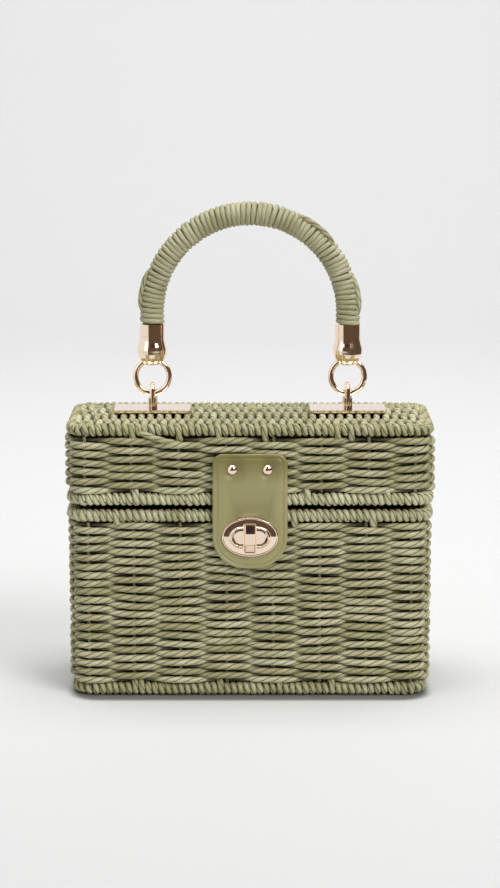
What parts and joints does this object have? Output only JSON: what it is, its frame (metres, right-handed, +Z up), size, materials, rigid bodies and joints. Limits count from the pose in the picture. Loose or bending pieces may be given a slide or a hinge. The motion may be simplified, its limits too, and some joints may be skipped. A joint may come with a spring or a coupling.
{
  "type": "basket box bag",
  "caption": "Box-shaped woven basket bag with a lashed lid, a leather tab with a turn lock, and an arched cord-wrapped handle on rings.",
  "frame": {"origin": "middle of the base, on the surface the bag stands on", "axes": "+Z up, front with the lock towards -Y, +X to the right as seen from the front"},
  "size_m": [0.21, 0.1086, 0.2796],
  "materials": {
    "cord": "twisted paper cord, matt",
    "leather": "smooth, slight sheen",
    "gold": "polished pale gold plating",
    "steel": "plain wire",
    "lining": "plain cloth"
  },
  "bodies": {
    "box": {"body_wall": "cord", "body_rim": "cord", "body_rim_hoop": "steel", "base_panel": "cord", "base_border": "cord", "body_lining": "lining", "left_hinge_lashing": "cord", "right_hinge_lashing": "cord", "lock_base": "gold", "lock_washer": "gold"},
    "knob": {"turn_knob": "gold"},
    "lid": {"lid_wall": "cord", "lid_rim": "cord", "lid_rim_hoop": "steel", "lid_top_panel": "cord", "lid_top_border": "cord", "lid_lining": "lining", "closure_tab": "leather", "tab_rivets": "gold", "rivet_washers": "gold", "eyelet_plate": "gold", "eyelet_back": "gold", "left_handle_plate": "gold", "right_handle_plate": "gold"},
    "left_ring_body": {"left_ring": "gold"},
    "right_ring_body": {"right_ring": "gold"},
    "handle": {"handle_core": "steel", "handle_wrap": "cord", "left_end_cap": "gold", "right_end_cap": "gold"}
  },
  "joints": [
    {"name": "lid_hinge", "type": "hinge", "parent": "box", "child": "lid", "pos_m": [0, 0.0441, 0.1146], "axis": [-1, 0, 0], "range_deg": [0, 90], "deforming": ["closure_tab", "eyelet_plate", "eyelet_back"]},
    {"name": "knob_turn", "type": "hinge", "parent": "box", "child": "knob", "pos_m": [0, -0.05, 0.0939], "axis": [0, -1, 0], "range_deg": [0, 90]},
    {"name": "left_ring_swing", "type": "hinge", "parent": "lid", "child": "left_ring_body", "pos_m": [-0.0565, 0, 0.1692], "axis": [1, 0, 0], "range_deg": [-78, 78]},
    {"name": "right_ring_swing", "type": "hinge", "parent": "lid", "child": "right_ring_body", "pos_m": [0.0565, 0, 0.1692], "axis": [1, 0, 0], "range_deg": [-78, 78]},
    {"name": "handle_swing", "type": "hinge", "parent": "left_ring_body", "child": "handle", "pos_m": [-0.0565, 0, 0.1886], "axis": [1, 0, 0], "range_deg": [-10, 10]}
  ],
  "couplings": [
    {"joint": "right_ring_swing", "follows": "left_ring_swing", "ratio": 1}
  ]
}
